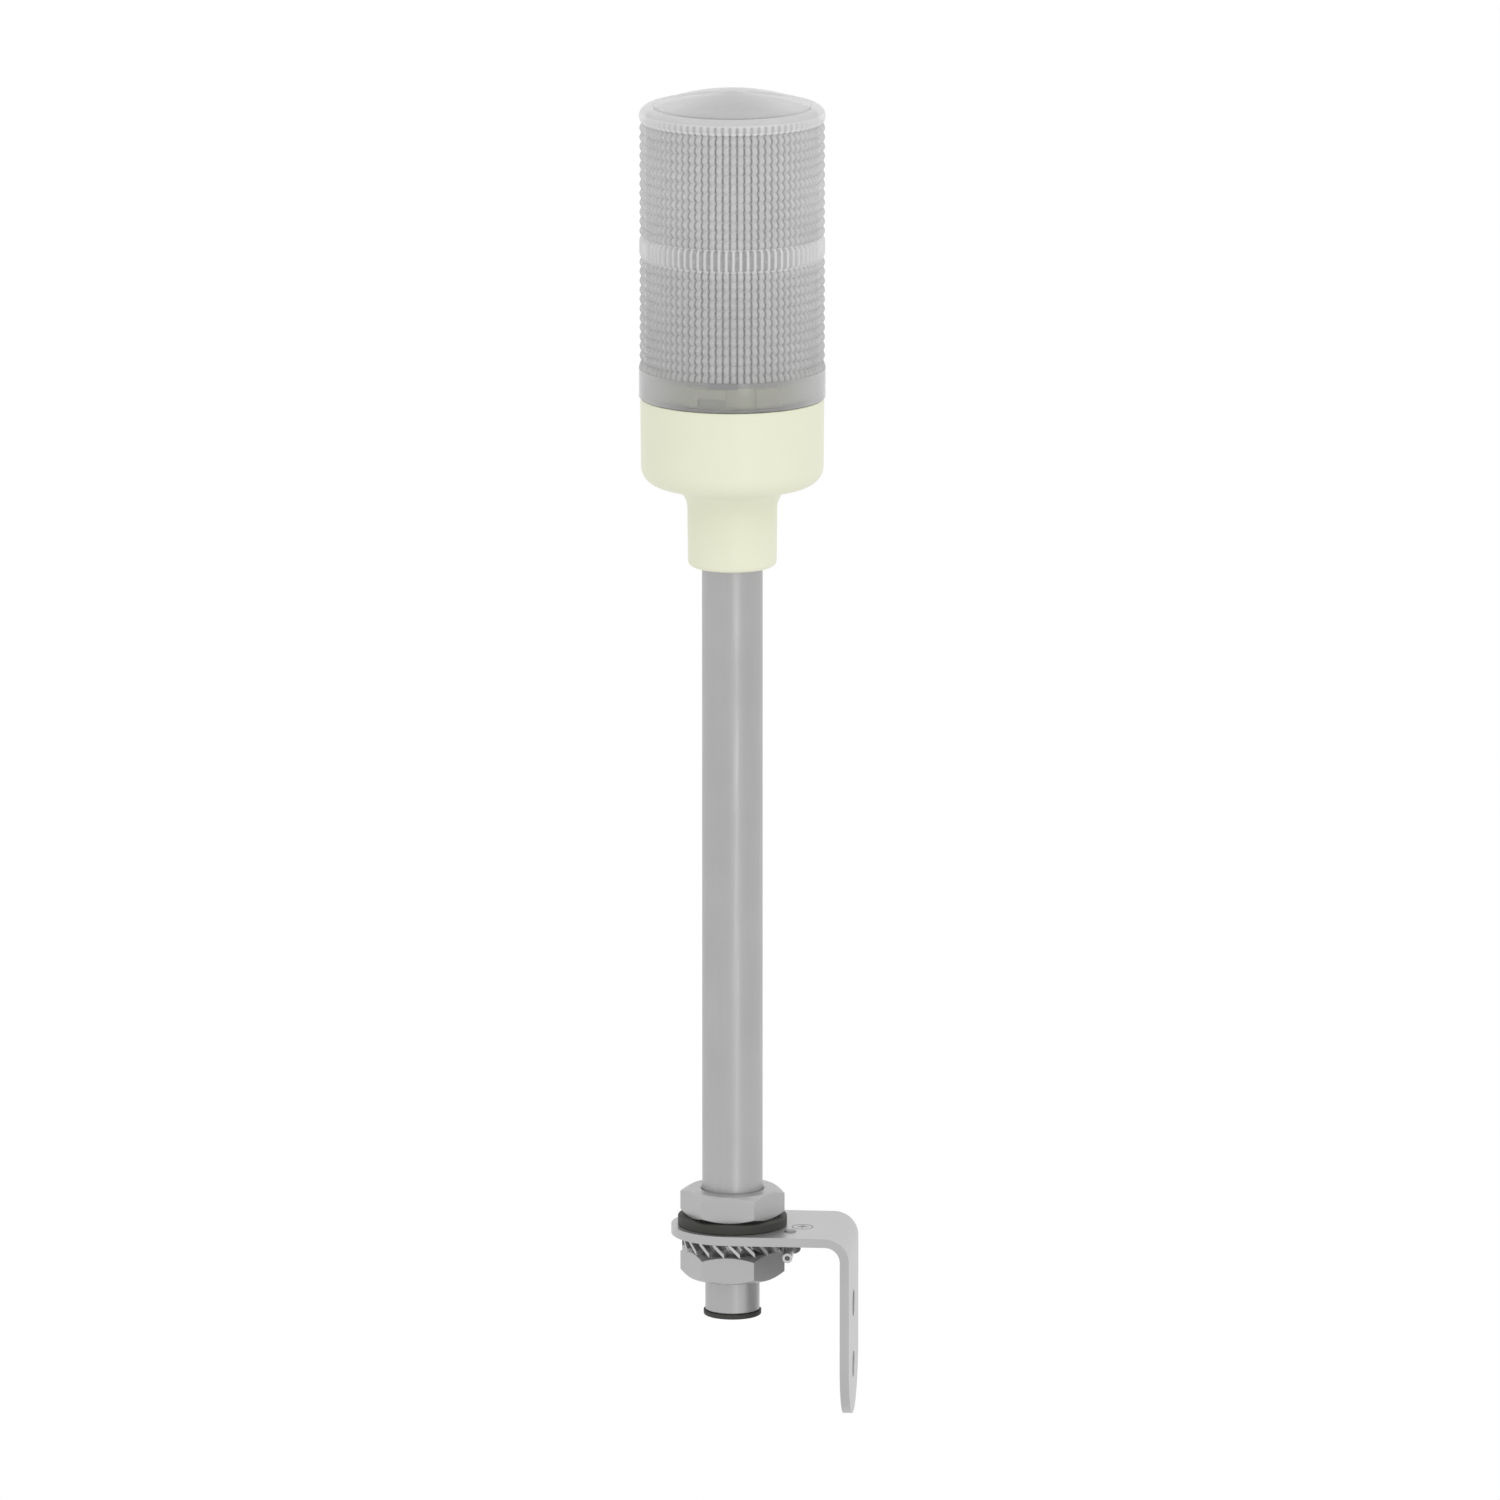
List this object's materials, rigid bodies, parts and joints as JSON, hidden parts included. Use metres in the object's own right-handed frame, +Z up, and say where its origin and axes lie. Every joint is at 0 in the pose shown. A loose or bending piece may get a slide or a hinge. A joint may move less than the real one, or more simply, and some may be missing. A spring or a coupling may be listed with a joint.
{
  "type": "stack light",
  "caption": "Signal light with a clear ringed globe on a round base and a pole, clamped by nuts to an L-shaped wall bracket with an earth point.",
  "frame": {"origin": "on the leg's outer face, midway between the two wall holes", "axes": "+Z up along the pole, +X out of the leg's outer face towards the wall"},
  "size_m": [0.0708, 0.0612, 0.4431],
  "materials": {
    "zinc_plate": "satin",
    "pole": "satin",
    "nut": "satin",
    "rubber": "matte",
    "washer": "satin",
    "tinned": "satin",
    "cream": "satin",
    "board": "satin",
    "component": "satin",
    "connector": "satin",
    "white": "satin",
    "white_board": "satin",
    "led": "gloss",
    "milky": "satin",
    "clear": "gloss"
  },
  "bodies": {
    "fixture": {"bracket": "zinc_plate", "pole_tube": "pole", "upper_nut": "nut", "rubber_gasket": "rubber", "toothed_washer": "washer", "lower_nut": "nut", "end_grommet": "rubber", "earth_screw": "nut", "earth_spring_washer": "washer", "ring_terminal": "tinned", "base_housing": "cream", "neck_seal": "rubber", "pole_lock_washer": "washer", "pole_lock_nut": "nut", "bayonet_carrier": "cream", "carrier_screws": "washer", "lens_seal": "rubber", "driver_board": "board", "board_components": "component", "wire_connector": "connector", "led_post": "white", "led_board_1": "white_board", "led_board_2": "white_board", "led_board_3": "white_board", "led_board_4": "white_board", "leds": "led", "post_cap": "white", "diffuser": "milky"},
    "globe": {"lens": "clear"}
  },
  "joints": [
    {"name": "lens_twist", "type": "hinge", "parent": "fixture", "child": "globe", "pos_m": [-0.0402, 0, 0.31475], "axis": [0, 0, 1], "range_deg": [0, 20]}
  ]
}
